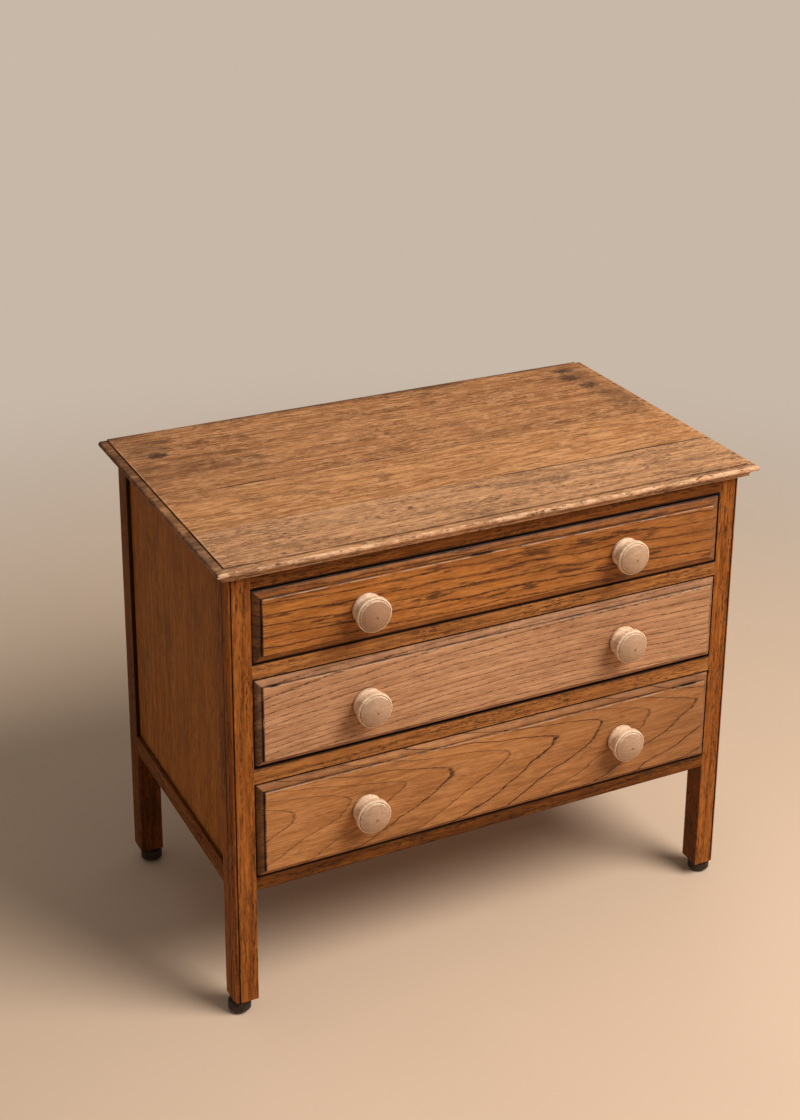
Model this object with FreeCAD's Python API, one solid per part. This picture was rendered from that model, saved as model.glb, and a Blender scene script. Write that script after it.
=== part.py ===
import FreeCAD, Part
import math
import os

from FreeCAD import Vector

# A three-drawer oak chest on castors, in millimetres.
# +Z is up, the drawers face -Y, and +X is to the right of someone facing them.
# The origin is on the floor, under the middle of the whole chest with its knobs.

# Overall sizes
CHEST_HEIGHT = 749.0
TOP_WIDTH = 900.0
TOP_THICKNESS = 20.0
CASE_WIDTH = 862.0
CASE_DEPTH = 471.0
TOP_FRONT_OVERHANG = 23.0
TOP_REAR_OVERHANG = 40.0

# The top is glued up from three boards, measured back from the front edge
FRONT_BOARD_WIDTH = 135.0
MIDDLE_BOARD_WIDTH = 138.0

# Moulded edge of the top: a small step down, a flat band, a round nose and a hollow below
TOP_MOULDING_WIDTH = 14.8
TOP_MOULDING_STEP = 2.0
TOP_NOSE_RADIUS = 4.3
TOP_FILLET = 1.6
TOP_UNDERCUT = 11.0
TOP_HOLLOW = 1.3

# Legs: square stiles that run from the castors to the top
LEG_WIDTH = 37.0
LEG_DEPTH = 38.0
LEG_FOOT_HEIGHT = 24.0
BEAD_WIDTH = 6.75
BEAD_QUIRK_WIDTH = 1.5
BEAD_QUIRK_DEPTH = 1.7
SIDE_QUIRK_SETBACK = 15.5

# Front rails, as heights of their lower and upper faces
TOP_RAIL_BOTTOM = 703.0
UPPER_RAIL = (562.0, 585.0)
LOWER_RAIL = (392.0, 418.0)
BOTTOM_RAIL = (214.0, 236.0)
TENON_THICKNESS = 10.0
TENON_LENGTH = 18.0
TENON_SHOULDER = 3.0
FRONT_TENON_INSET = 8.0

# Side and back framing
SIDE_RAIL = (217.0, 248.0)
SIDE_RAIL_THICKNESS = 16.0
SIDE_TENON_LENGTH = 16.0
SIDE_TENON_THICKNESS = 8.0
LOWER_TENON_INSET = 2.0
UPPER_TENON_INSET = 16.0
PANEL_RECESS = 6.0
PANEL_THICKNESS = 10.0
PANEL_TONGUE = 8.0
KICKER_WIDTH = 39.0
BACK_PANEL_THICKNESS = 6.0
BACK_REBATE = 12.0
BACK_RAIL_THICKNESS = 20.0

# Runners that carry the drawers, each with a guide strip along its outer edge
RUNNER_WIDTH = 43.0
GUIDE_WIDTH = 21.0
GUIDE_HEIGHT = 14.0
STOP_SIZE = (34.0, 20.0, 6.0)
STOP_OFFSET = 250.0
STOP_GAP = 0.2

# Drawers
DRAWER_SIDE_GAP = 2.0
DRAWER_LIFT = 0.3
FRONT_RECESS = 1.5
FRONT_BACK_FACE = 15.0
FIELD_STEP = 2.4
SIDE_THICKNESS = 12.0
SIDE_HEADROOM = 8.0
BACK_THICKNESS = 10.0
BACK_DROP = 10.0
BOTTOM_THICKNESS = 5.0
BOTTOM_RISE = 8.0
BOTTOM_TONGUE = 6.0
DRAWER_REAR = 440.0
DOVETAIL_LAP = 9.0
DOVETAIL_SLOPE = 5.0
TAIL_SHARE = 0.52

# name, opening floor, opening ceiling, gap under the front, gap over it,
# width and depth of the moulding round its field, number of dovetails
DRAWERS = [
    ("top_drawer", UPPER_RAIL[1], TOP_RAIL_BOTTOM, 1.5, 3.5, 12.5, 7.0, 3),
    ("middle_drawer", LOWER_RAIL[1], UPPER_RAIL[0], 3.0, 1.5, 10.5, 10.0, 4),
    ("bottom_drawer", BOTTOM_RAIL[1], LOWER_RAIL[0], 1.5, 1.5, 10.5, 10.0, 4),
]

# Turned knobs: a flange, a hollow neck, a disc with a broad rim, a groove and a domed face
KNOB_LENGTH = 37.0
KNOB_SPIGOT_RADIUS = 6.0
KNOB_SPIGOT_CLEARANCE = 0.05
KNOB_FLANGE_RADIUS = 23.5
KNOB_FLANGE_THICKNESS = 6.0
KNOB_EDGE_ROUNDING = 1.0
KNOB_SHOULDER = (19.5, 8.2)
KNOB_NECK_RADIUS = 15.5
KNOB_NECK_END = (18.0, 17.5)
KNOB_RIM_RADIUS = 27.3
KNOB_RIM = (20.6, 26.6)
KNOB_RIM_FLARE = (2.6, 2.4)
KNOB_RIM_BEVEL = 2.0
KNOB_GROOVE = (24.4, 27.2)
KNOB_FACE_RADIUS = 23.4
KNOB_FACE_START = 30.6
DEEPEST_MOULDING = 10.0

# Where each knob was fitted, by eye, so they are a little out of line: x and height
KNOB_PLACES = {
    "top_drawer": {"left": (-218.0, 640.5), "right": (218.0, 640.5)},
    "middle_drawer": {"left": (-218.0, 488.5), "right": (220.0, 490.5)},
    "bottom_drawer": {"left": (-219.0, 310.5), "right": (225.0, 315.0)},
}

# Hooded castors, one under each leg; the turn is the way the wheel trails, seen from above
CASTOR_PLATE_RADIUS = 17.0
CASTOR_PLATE_THICKNESS = 2.0
CASTOR_SOCKET_RADIUS = 5.5
CASTOR_SOCKET_HEIGHT = 28.0
CASTOR_PIN_RADIUS = 3.0
CASTOR_PIN_HEIGHT = 20.0
CASTOR_PIN_HEADROOM = 1.0
CASTOR_FIT = 0.05
CASTOR_TRAIL = 6.0
HOOD_GAP = 1.0
HOOD_OFFSET = 5.0
HOOD_RADIUS = 17.5
HOOD_TOP_RADIUS = 12.5
HOOD_SHOULDER = (16.0, 2.0)
HOOD_BROW = 6.0
HOOD_RIM_HEIGHT = 5.5
HOOD_WALL = 2.2
HOOD_BOSS_RADIUS = 3.2
WHEEL_RADIUS = 9.0
WHEEL_WIDTH = 16.0
WHEEL_HUB_RADIUS = 4.0
WHEEL_DISH = 1.2
WHEEL_RIM = 2.4
WHEEL_CHAMFER = 1.5
WHEEL_SIDE_GAP = 0.4
AXLE_RADIUS = 2.0
CASTOR_TURNS = {
    "front_left": 170.0,
    "front_right": 40.0,
    "rear_left": 300.0,
    "rear_right": 120.0,
}

# Screws that hold the top down, driven up through the rails
SCREW_HEAD_RADIUS = 4.0
SCREW_SHANK_RADIUS = 2.0
SCREW_HEAD_HEIGHT = 2.5
SCREW_BITE = 12.0
SCREW_FROM_END = 110.0
SCREW_OFF_CENTRE = 200.0

# Places worked out from the sizes above
MIDDLE_STEP = FRONT_RECESS - DEEPEST_MOULDING
KNOB_REACH = KNOB_LENGTH - MIDDLE_STEP
FRONT = (KNOB_REACH - CASE_DEPTH - TOP_REAR_OVERHANG) / 2
BACK = FRONT + CASE_DEPTH
TOP_FRONT = FRONT - TOP_FRONT_OVERHANG
TOP_BACK = BACK + TOP_REAR_OVERHANG
UNDER_TOP = CHEST_HEIGHT - TOP_THICKNESS
HALF_CASE = CASE_WIDTH / 2
LEG_INSIDE = HALF_CASE - LEG_WIDTH
FRONT_LEG_BACK = FRONT + LEG_DEPTH
REAR_LEG_FRONT = BACK - LEG_DEPTH
PANEL_OUTSIDE = HALF_CASE - PANEL_RECESS
PANEL_INSIDE = PANEL_OUTSIDE - PANEL_THICKNESS
PANEL_FOOT = SIDE_RAIL[1] - PANEL_TONGUE
BACK_RAIL_FRONT = BACK - BACK_PANEL_THICKNESS - BACK_RAIL_THICKNESS
BACK_RAIL_BACK = BACK - BACK_PANEL_THICKNESS
HALF_DRAWER = LEG_INSIDE - DRAWER_SIDE_GAP
SPAN = 1000.0


def box(x0, x1, y0, y1, z0, z1):
    return Part.makeBox(x1 - x0, y1 - y0, z1 - z0, Vector(x0, y0, z0))


def mirrored(shape):
    return shape.mirror(Vector(0, 0, 0), Vector(1, 0, 0))


def on_side(shape, side):
    return shape if side == "right" else mirrored(shape)


def line(start, end):
    return Part.makeLine(Vector(*start), Vector(*end))


def polyline(points):
    return [line(a, b) for a, b in zip(points, points[1:])]


def arc(start, through, end):
    return Part.Arc(Vector(*start), Vector(*through), Vector(*end)).toShape()


def quarter_ellipse(centre, start, end):
    """A quarter of an ellipse from the end of its long axis round to the end of its short one."""
    ellipse = Part.Ellipse(Vector(*start), Vector(*end), Vector(*centre))
    return Part.ArcOfEllipse(ellipse, 0, math.pi / 2).toShape()


def face_of(edges):
    return Part.Face(Part.Wire(edges))


def prism(points, direction):
    return face_of(polyline(points + points[:1])).extrude(Vector(*direction))


def fused(shapes):
    return shapes[0].multiFuse(shapes[1:]).removeSplitter()


# The top: one blank with its front and both ends moulded, then parted into boards


def top_edge(point):
    """Edges of the moulded section, from the field of the top round to its underside.

    point turns a distance in from the nose and a height into a point in space.
    """
    band = CHEST_HEIGHT - TOP_MOULDING_STEP
    radius = TOP_NOSE_RADIUS
    nose_low = band - 2 * radius
    hollow_start = radius + TOP_FILLET
    field = point(TOP_MOULDING_WIDTH, CHEST_HEIGHT)
    quirk = point(TOP_MOULDING_WIDTH, band)
    nose_start = point(radius, band)
    nose = point(0.0, band - radius)
    nose_end = point(radius, nose_low)
    fillet = point(hollow_start, nose_low)
    belly = point((hollow_start + TOP_UNDERCUT) / 2 + TOP_HOLLOW, (nose_low + UNDER_TOP) / 2 + TOP_HOLLOW)
    foot = point(TOP_UNDERCUT, UNDER_TOP)
    return [
        *polyline([field, quirk, nose_start]),
        arc(nose_start, nose, nose_end),
        line(nose_end, fillet),
        arc(fillet, belly, foot),
    ]


def top_blank():
    front = top_edge(lambda inset, z: (-SPAN / 2, TOP_FRONT + inset, z))
    front_start = front[0].Vertexes[0].Point
    front_end = front[-1].Vertexes[-1].Point
    back_low = (-SPAN / 2, TOP_BACK, UNDER_TOP)
    back_high = (-SPAN / 2, TOP_BACK, CHEST_HEIGHT)
    front += polyline([tuple(front_end), back_low, back_high, tuple(front_start)])
    lengthwise = face_of(front).extrude(Vector(SPAN, 0, 0))

    right = top_edge(lambda inset, z: (TOP_WIDTH / 2 - inset, -SPAN / 2, z))
    left = top_edge(lambda inset, z: (inset - TOP_WIDTH / 2, -SPAN / 2, z))
    across = right + left
    across.append(line(right[-1].Vertexes[-1].Point, left[-1].Vertexes[-1].Point))
    across.append(line(right[0].Vertexes[0].Point, left[0].Vertexes[0].Point))
    endwise = face_of(Part.__sortEdges__(across)).extrude(Vector(0, SPAN, 0))
    return lengthwise.common(endwise)


def top_boards(screws):
    first_joint = TOP_FRONT + FRONT_BOARD_WIDTH
    second_joint = first_joint + MIDDLE_BOARD_WIDTH
    limits = {
        "top_board_front": (-SPAN, first_joint),
        "top_board_middle": (first_joint, second_joint),
        "top_board_back": (second_joint, SPAN),
    }
    blank = top_blank().cut(screws)
    boards = {}
    for name, (start, end) in limits.items():
        boards[name] = blank.common(box(-SPAN, SPAN, start, end, 0, SPAN))
    return boards


# Legs and framing


def front_leg_section(z):
    """The right-hand front leg: a bead round its outer corner, with a quirk on each face."""
    side_quirk_y = FRONT + SIDE_QUIRK_SETBACK
    bead_x = HALF_CASE - BEAD_WIDTH
    bead_y = side_quirk_y - BEAD_QUIRK_WIDTH / 2
    bead_start = (bead_x, FRONT, z)
    bead_end = (HALF_CASE, bead_y, z)
    edges = polyline([
        (LEG_INSIDE, FRONT_LEG_BACK, z),
        (LEG_INSIDE, FRONT, z),
        (bead_x - BEAD_QUIRK_WIDTH, FRONT, z),
        (bead_x - BEAD_QUIRK_WIDTH / 2, FRONT + BEAD_QUIRK_DEPTH, z),
        bead_start,
    ])
    edges.append(quarter_ellipse((bead_x, bead_y, z), bead_start, bead_end))
    edges += polyline([
        bead_end,
        (HALF_CASE - BEAD_QUIRK_DEPTH, side_quirk_y, z),
        (HALF_CASE, side_quirk_y + BEAD_QUIRK_WIDTH / 2, z),
        (HALF_CASE, FRONT_LEG_BACK, z),
        (LEG_INSIDE, FRONT_LEG_BACK, z),
    ])
    return edges


def leg_blanks():
    height = Vector(0, 0, UNDER_TOP - LEG_FOOT_HEIGHT)
    front = face_of(front_leg_section(LEG_FOOT_HEIGHT)).extrude(height)
    rear = box(LEG_INSIDE, HALF_CASE, REAR_LEG_FRONT, BACK, LEG_FOOT_HEIGHT, UNDER_TOP)
    blanks = {}
    for side in ("left", "right"):
        blanks["front_%s_leg" % side] = on_side(front, side)
        blanks["rear_%s_leg" % side] = on_side(rear, side)
    return blanks


def crosswise_rail(front, back, low, high, tenon_front):
    """A rail between two legs, with a tenon at each end."""
    tenon_back = tenon_front + TENON_THICKNESS
    reach = LEG_INSIDE + TENON_LENGTH
    body = box(-LEG_INSIDE, LEG_INSIDE, front, back, low, high)
    tenon = box(-reach, reach, tenon_front, tenon_back, low + TENON_SHOULDER, high - TENON_SHOULDER)
    return fused([body, tenon])


def front_rails():
    tenon_front = FRONT + FRONT_TENON_INSET
    heights = {
        "top_front_rail": (TOP_RAIL_BOTTOM, UNDER_TOP),
        "upper_drawer_rail": UPPER_RAIL,
        "lower_drawer_rail": LOWER_RAIL,
        "bottom_front_rail": BOTTOM_RAIL,
    }
    rails = {}
    for name, (low, high) in heights.items():
        rails[name] = crosswise_rail(FRONT, FRONT_LEG_BACK, low, high, tenon_front)
    return rails


def back_rails():
    tenon_front = BACK_RAIL_FRONT + (BACK_RAIL_THICKNESS - TENON_THICKNESS) / 2
    heights = {
        "upper_back_rail": (TOP_RAIL_BOTTOM, UNDER_TOP),
        "lower_back_rail": SIDE_RAIL,
    }
    rails = {}
    for name, (low, high) in heights.items():
        rails[name] = crosswise_rail(BACK_RAIL_FRONT, BACK_RAIL_BACK, low, high, tenon_front)
    return rails


def lengthwise_rail(inside, outside, low, high, tenon_inside, tenon_low, tenon_high):
    """A rail on the right between the front and the rear leg, tenoned into both."""
    body = box(inside, outside, FRONT_LEG_BACK, REAR_LEG_FRONT, low, high)
    tenon = box(
        tenon_inside,
        tenon_inside + SIDE_TENON_THICKNESS,
        FRONT_LEG_BACK - SIDE_TENON_LENGTH,
        REAR_LEG_FRONT + SIDE_TENON_LENGTH,
        tenon_low,
        tenon_high,
    )
    return fused([body, tenon])


def side_framing():
    low, high = SIDE_RAIL
    outside = PANEL_INSIDE + SIDE_RAIL_THICKNESS
    lower = lengthwise_rail(
        PANEL_INSIDE,
        outside,
        low,
        high,
        PANEL_INSIDE + LOWER_TENON_INSET,
        low + TENON_SHOULDER,
        PANEL_FOOT - TENON_SHOULDER,
    )
    rebate = box(PANEL_INSIDE, PANEL_OUTSIDE, FRONT_LEG_BACK, REAR_LEG_FRONT, PANEL_FOOT, high)
    lower = lower.cut(rebate)
    upper = lengthwise_rail(
        PANEL_INSIDE - KICKER_WIDTH,
        PANEL_INSIDE,
        TOP_RAIL_BOTTOM,
        UNDER_TOP,
        PANEL_INSIDE - UPPER_TENON_INSET,
        TOP_RAIL_BOTTOM + TENON_SHOULDER,
        UNDER_TOP - TENON_SHOULDER,
    )
    panel = box(
        PANEL_INSIDE,
        PANEL_OUTSIDE,
        FRONT_LEG_BACK - PANEL_TONGUE,
        REAR_LEG_FRONT + PANEL_TONGUE,
        PANEL_FOOT,
        UNDER_TOP,
    )
    pieces = {}
    for side in ("left", "right"):
        pieces["%s_lower_side_rail" % side] = on_side(lower, side)
        pieces["%s_upper_side_rail" % side] = on_side(upper, side)
        pieces["%s_side_panel" % side] = on_side(panel, side)
    return pieces


def back_panel():
    reach = LEG_INSIDE + BACK_REBATE
    return box(-reach, reach, BACK_RAIL_BACK, BACK, SIDE_RAIL[0], UNDER_TOP)


def drawer_runners():
    heights = {"top": UPPER_RAIL, "middle": LOWER_RAIL, "bottom": BOTTOM_RAIL}
    inner = PANEL_INSIDE - RUNNER_WIDTH
    guide = PANEL_INSIDE - GUIDE_WIDTH
    length = (0, REAR_LEG_FRONT - FRONT_LEG_BACK, 0)
    runners = {}
    for name, (low, high) in heights.items():
        section = [
            (inner, FRONT_LEG_BACK, low),
            (PANEL_INSIDE, FRONT_LEG_BACK, low),
            (PANEL_INSIDE, FRONT_LEG_BACK, high + GUIDE_HEIGHT),
            (guide, FRONT_LEG_BACK, high + GUIDE_HEIGHT),
            (guide, FRONT_LEG_BACK, high),
            (inner, FRONT_LEG_BACK, high),
        ]
        runner = prism(section, length)
        for side in ("left", "right"):
            runners["%s_drawer_runner_%s" % (name, side)] = on_side(runner, side)
    return runners


def drawer_stops():
    width, depth, height = STOP_SIZE
    front = FRONT + FRONT_BACK_FACE + STOP_GAP
    stops = []
    for rail in (UPPER_RAIL, LOWER_RAIL, BOTTOM_RAIL):
        for x in (-STOP_OFFSET, STOP_OFFSET):
            stops.append(box(x - width / 2, x + width / 2, front, front + depth, rail[1], rail[1] + height))
    return Part.makeCompound(stops)


def top_screws():
    """Countersunk screws up through the rails under the top."""
    side_rail = PANEL_INSIDE - KICKER_WIDTH / 2
    front_rail = FRONT + LEG_DEPTH / 2
    back_rail = BACK_RAIL_FRONT + BACK_RAIL_THICKNESS / 2
    places = []
    for side in (-1, 1):
        places.append((side * side_rail, FRONT + SCREW_FROM_END))
        places.append((side * side_rail, BACK - SCREW_FROM_END))
        places.append((side * SCREW_OFF_CENTRE, front_rail))
        places.append((side * SCREW_OFF_CENTRE, back_rail))
    length = UNDER_TOP - TOP_RAIL_BOTTOM + SCREW_BITE
    screws = []
    for x, y in places:
        foot = Vector(x, y, TOP_RAIL_BOTTOM)
        head = Part.makeCone(SCREW_HEAD_RADIUS, SCREW_SHANK_RADIUS, SCREW_HEAD_HEIGHT, foot)
        shank = Part.makeCylinder(SCREW_SHANK_RADIUS, length, foot)
        screws.append(fused([head, shank]))
    return Part.makeCompound(screws)


# Drawers


def fielded_section(point, low, high, width, depth):
    """A drawer front cut through: a raised field with a step and a thumbnail at each edge.

    point turns a distance across the front and a depth into a point in space.
    """
    back = FRONT + FRONT_BACK_FACE
    margin = FRONT + FRONT_RECESS
    field = margin - depth
    step = field + FIELD_STEP
    rise = margin - step
    radius = (width ** 2 + rise ** 2) / (2 * rise)
    half_turn = math.asin(width / radius) / 2
    run = width - radius * math.sin(half_turn)
    middle = step + radius * (1 - math.cos(half_turn))
    return [
        line(point(low, back), point(low, margin)),
        arc(point(low, margin), point(low + run, middle), point(low + width, step)),
        *polyline([
            point(low + width, step),
            point(low + width, field),
            point(high - width, field),
            point(high - width, step),
        ]),
        arc(point(high - width, step), point(high - run, middle), point(high, margin)),
        *polyline([point(high, margin), point(high, back), point(low, back)]),
    ]


def drawer_front_blank(low, high, width, depth):
    upright = fielded_section(lambda t, y: (-SPAN / 2, y, t), low, high, width, depth)
    level = fielded_section(lambda t, y: (t, y, 0), -HALF_DRAWER, HALF_DRAWER, width, depth)
    lengthwise = face_of(upright).extrude(Vector(SPAN, 0, 0))
    endwise = face_of(level).extrude(Vector(0, 0, SPAN))
    return lengthwise.common(endwise)


def tails(shoulder, tip, low, high, count):
    """Dovetails on the end of a drawer side, wider at the tip than at the shoulder."""
    pitch = (high - low) / count
    narrow = TAIL_SHARE * pitch
    splay = abs(tip - shoulder) / DOVETAIL_SLOPE
    inside = HALF_DRAWER - SIDE_THICKNESS
    shapes = []
    for index in range(count):
        middle = low + pitch * (index + 0.5)
        outline = [
            (inside, shoulder, middle - narrow / 2),
            (inside, tip, middle - narrow / 2 - splay),
            (inside, tip, middle + narrow / 2 + splay),
            (inside, shoulder, middle + narrow / 2),
        ]
        shapes.append(prism(outline, (SIDE_THICKNESS, 0, 0)))
    return shapes


def knob_section(spigot):
    """Half of a turned knob, from its spigot to its face; x is the radius, y the reach."""
    flange_edge = KNOB_FLANGE_RADIUS - KNOB_EDGE_ROUNDING
    rim_low, rim_high = KNOB_RIM
    flare_width, flare_height = KNOB_RIM_FLARE
    bevel_end = rim_high + KNOB_RIM_BEVEL
    neck_start = (*KNOB_SHOULDER, 0)
    neck_end = (*KNOB_NECK_END, 0)
    neck_middle = (KNOB_NECK_RADIUS, (neck_start[1] + neck_end[1]) / 2, 0)
    dome_rise = KNOB_LENGTH - KNOB_FACE_START
    dome_radius = (KNOB_FACE_RADIUS ** 2 + dome_rise ** 2) / (2 * dome_rise)
    dome_half = math.asin(KNOB_FACE_RADIUS / dome_radius) / 2
    dome_middle = (
        dome_radius * math.sin(dome_half),
        KNOB_LENGTH - dome_radius * (1 - math.cos(dome_half)),
        0,
    )
    return [
        *polyline([
            (0, -spigot, 0),
            (KNOB_SPIGOT_RADIUS, -spigot, 0),
            (KNOB_SPIGOT_RADIUS, 0, 0),
            (flange_edge, 0, 0),
            (KNOB_FLANGE_RADIUS, KNOB_EDGE_ROUNDING, 0),
            (KNOB_FLANGE_RADIUS, KNOB_FLANGE_THICKNESS - KNOB_EDGE_ROUNDING, 0),
            neck_start,
        ]),
        arc(neck_start, neck_middle, neck_end),
        *polyline([
            neck_end,
            (KNOB_RIM_RADIUS - flare_width, rim_low - flare_height, 0),
            (KNOB_RIM_RADIUS, rim_low, 0),
            (KNOB_RIM_RADIUS, rim_high, 0),
            (KNOB_RIM_RADIUS - KNOB_RIM_BEVEL, bevel_end, 0),
            (*KNOB_GROOVE, 0),
            (KNOB_FACE_RADIUS, KNOB_FACE_START, 0),
        ]),
        arc((KNOB_FACE_RADIUS, KNOB_FACE_START, 0), dome_middle, (0, KNOB_LENGTH, 0)),
        line((0, KNOB_LENGTH, 0), (0, -spigot, 0)),
    ]


def turned_knob(spigot):
    knob = face_of(knob_section(spigot)).revolve(Vector(0, 0, 0), Vector(0, 1, 0), 360)
    knob.rotate(Vector(0, 0, 0), Vector(0, 0, 1), 180)
    return knob


def drawer(name, floor, ceiling, gap_under, gap_over, width, depth, tail_count):
    front_back = FRONT + FRONT_BACK_FACE
    rear = FRONT + DRAWER_REAR
    back_front = rear - BACK_THICKNESS
    side_foot = floor + DRAWER_LIFT
    side_top = ceiling - SIDE_HEADROOM
    panel_low = side_foot + BOTTOM_RISE
    panel_high = panel_low + BOTTOM_THICKNESS
    back_top = side_top - BACK_DROP
    inside = HALF_DRAWER - SIDE_THICKNESS
    field = FRONT + FRONT_RECESS - depth

    tongue = inside + BOTTOM_TONGUE
    bottom = box(-tongue, tongue, front_back - BOTTOM_TONGUE, rear, panel_low, panel_high)

    board = box(inside, HALF_DRAWER, front_back, rear, side_foot, side_top)
    front_tails = tails(front_back, front_back - DOVETAIL_LAP, side_foot, side_top, tail_count)
    side = fused([board] + front_tails)
    pins = box(inside, HALF_DRAWER, back_front, rear, panel_high, back_top)
    for tail in tails(back_front, rear, panel_high, back_top, tail_count):
        pins = pins.cut(tail)
    side = side.cut(pins).cut(bottom)
    left_side = mirrored(side)

    back = box(-HALF_DRAWER, HALF_DRAWER, back_front, rear, panel_high, back_top)
    back = back.cut(side).cut(left_side)

    front = drawer_front_blank(floor + gap_under, ceiling - gap_over, width, depth)
    front = front.cut(side).cut(left_side).cut(bottom)
    hole_radius = KNOB_SPIGOT_RADIUS + KNOB_SPIGOT_CLEARANCE
    knobs = {}
    for hand, (x, height) in KNOB_PLACES[name].items():
        hole_start = Vector(x, TOP_FRONT, height)
        front = front.cut(Part.makeCylinder(hole_radius, CASE_DEPTH, hole_start, Vector(0, 1, 0)))
        knob = turned_knob(front_back - field)
        knob.translate(Vector(x, field, height))
        knobs["%s_%s_knob" % (name, hand)] = knob

    pieces = {
        "%s_front" % name: front,
        "%s_left_side" % name: left_side,
        "%s_right_side" % name: side,
        "%s_back" % name: back,
        "%s_bottom" % name: bottom,
    }
    pieces.update(knobs)
    return pieces


# Castors


def castor_places():
    x = HALF_CASE - LEG_WIDTH / 2
    front = FRONT + LEG_DEPTH / 2
    rear = BACK - LEG_DEPTH / 2
    return {
        "front_left": (-x, front),
        "front_right": (x, front),
        "rear_left": (-x, rear),
        "rear_right": (x, rear),
    }


def socket_barrel():
    return Part.makeCylinder(CASTOR_SOCKET_RADIUS, CASTOR_SOCKET_HEIGHT, Vector(0, 0, LEG_FOOT_HEIGHT))


def castor_socket():
    """The fixed part: a round plate under the leg with a bored socket up inside it."""
    plate_low = LEG_FOOT_HEIGHT - CASTOR_PLATE_THICKNESS
    plate = Part.makeCylinder(CASTOR_PLATE_RADIUS, CASTOR_PLATE_THICKNESS, Vector(0, 0, plate_low))
    bore_height = CASTOR_PLATE_THICKNESS + CASTOR_PIN_HEIGHT + CASTOR_PIN_HEADROOM
    bore = Part.makeCylinder(CASTOR_PIN_RADIUS + CASTOR_FIT, bore_height, Vector(0, 0, plate_low))
    return fused([plate, socket_barrel()]).cut(bore)


def castor_horn():
    """The swivelling part: a pin, a round hood set off to one side, two bosses and the axle."""
    top = LEG_FOOT_HEIGHT - CASTOR_PLATE_THICKNESS - HOOD_GAP
    ceiling = top - HOOD_WALL
    shoulder_radius, shoulder_drop = HOOD_SHOULDER
    outline = [
        (0, 0, top),
        (HOOD_TOP_RADIUS, 0, top),
        (shoulder_radius, 0, top - shoulder_drop),
        (HOOD_RADIUS, 0, top - HOOD_BROW),
        (HOOD_RADIUS, 0, HOOD_RIM_HEIGHT),
        (HOOD_RADIUS - HOOD_WALL, 0, HOOD_RIM_HEIGHT),
        (HOOD_RADIUS - HOOD_WALL, 0, top - HOOD_BROW),
        (HOOD_TOP_RADIUS, 0, ceiling),
        (0, 0, ceiling),
    ]
    hood = face_of(polyline(outline + outline[:1])).revolve(Vector(0, 0, 0), Vector(0, 0, 1), 360)
    hood.translate(Vector(HOOD_OFFSET, 0, 0))
    pin_height = LEG_FOOT_HEIGHT + CASTOR_PIN_HEIGHT - ceiling
    pin = Part.makeCylinder(CASTOR_PIN_RADIUS, pin_height, Vector(0, 0, ceiling))
    reach = HOOD_RADIUS - HOOD_WALL / 2
    axle_start = Vector(CASTOR_TRAIL, -reach, WHEEL_RADIUS)
    axle = Part.makeCylinder(AXLE_RADIUS, 2 * reach, axle_start, Vector(0, 1, 0))
    gap = WHEEL_WIDTH / 2 + WHEEL_SIDE_GAP
    bosses = []
    for start in (gap, -reach):
        place = Vector(CASTOR_TRAIL, start, WHEEL_RADIUS)
        bosses.append(Part.makeCylinder(HOOD_BOSS_RADIUS, reach - gap, place, Vector(0, 1, 0)))
    return fused([hood, pin, axle, *bosses])


def castor_wheel():
    """A wheel with chamfered edges and a shallow dish on each face, turned about the axle."""
    half = WHEEL_WIDTH / 2
    bore = AXLE_RADIUS + CASTOR_FIT
    dish_outside = WHEEL_RADIUS - WHEEL_RIM
    side = [
        (bore, half),
        (WHEEL_HUB_RADIUS, half),
        (WHEEL_HUB_RADIUS + WHEEL_DISH, half - WHEEL_DISH),
        (dish_outside - WHEEL_DISH, half - WHEEL_DISH),
        (dish_outside, half),
        (WHEEL_RADIUS - WHEEL_CHAMFER, half),
        (WHEEL_RADIUS, half - WHEEL_CHAMFER),
    ]
    outline = [(radius, reach, 0) for radius, reach in side]
    outline += [(radius, -reach, 0) for radius, reach in reversed(side)]
    wheel = face_of(polyline(outline + outline[:1])).revolve(Vector(0, 0, 0), Vector(0, 1, 0), 360)
    wheel.translate(Vector(CASTOR_TRAIL, 0, WHEEL_RADIUS))
    return wheel


def castors():
    """Each castor stands under its leg, its horn and wheel turned the way it trails."""
    socket = castor_socket()
    horn = castor_horn()
    wheel = castor_wheel()
    sockets = []
    pieces = {}
    for name, (x, y) in castor_places().items():
        placed = socket.copy()
        placed.translate(Vector(x, y, 0))
        sockets.append(placed)
        for part_name, shape in (("horn", horn), ("wheel", wheel)):
            turned = shape.copy()
            turned.rotate(Vector(0, 0, 0), Vector(0, 0, 1), CASTOR_TURNS[name])
            turned.translate(Vector(x, y, 0))
            pieces["%s_castor_%s" % (name, part_name)] = turned
    pieces["castor_sockets"] = Part.makeCompound(sockets)
    return pieces


def legs(joined):
    """The leg blanks, mortised for all that enters them and bored for the castors."""
    pieces = {}
    places = castor_places()
    for name, leg in leg_blanks().items():
        for shape in joined:
            leg = leg.cut(shape)
        x, y = places[name.replace("_leg", "")]
        barrel = socket_barrel()
        barrel.translate(Vector(x, y, 0))
        pieces[name] = leg.cut(barrel)
    return pieces


def build():
    screws = top_screws()
    framing = {}
    framing.update(front_rails())
    framing.update(back_rails())
    framing.update(side_framing())
    framing["back_panel"] = back_panel()
    rolling = castors()

    pieces = top_boards(screws)
    pieces.update(legs(framing.values()))
    for name, shape in framing.items():
        pieces[name] = shape.cut(screws)
    pieces.update(drawer_runners())
    pieces["drawer_stops"] = drawer_stops()
    pieces["top_screws"] = screws
    pieces.update(rolling)
    for settings in DRAWERS:
        pieces.update(drawer(*settings))
    return pieces


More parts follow.
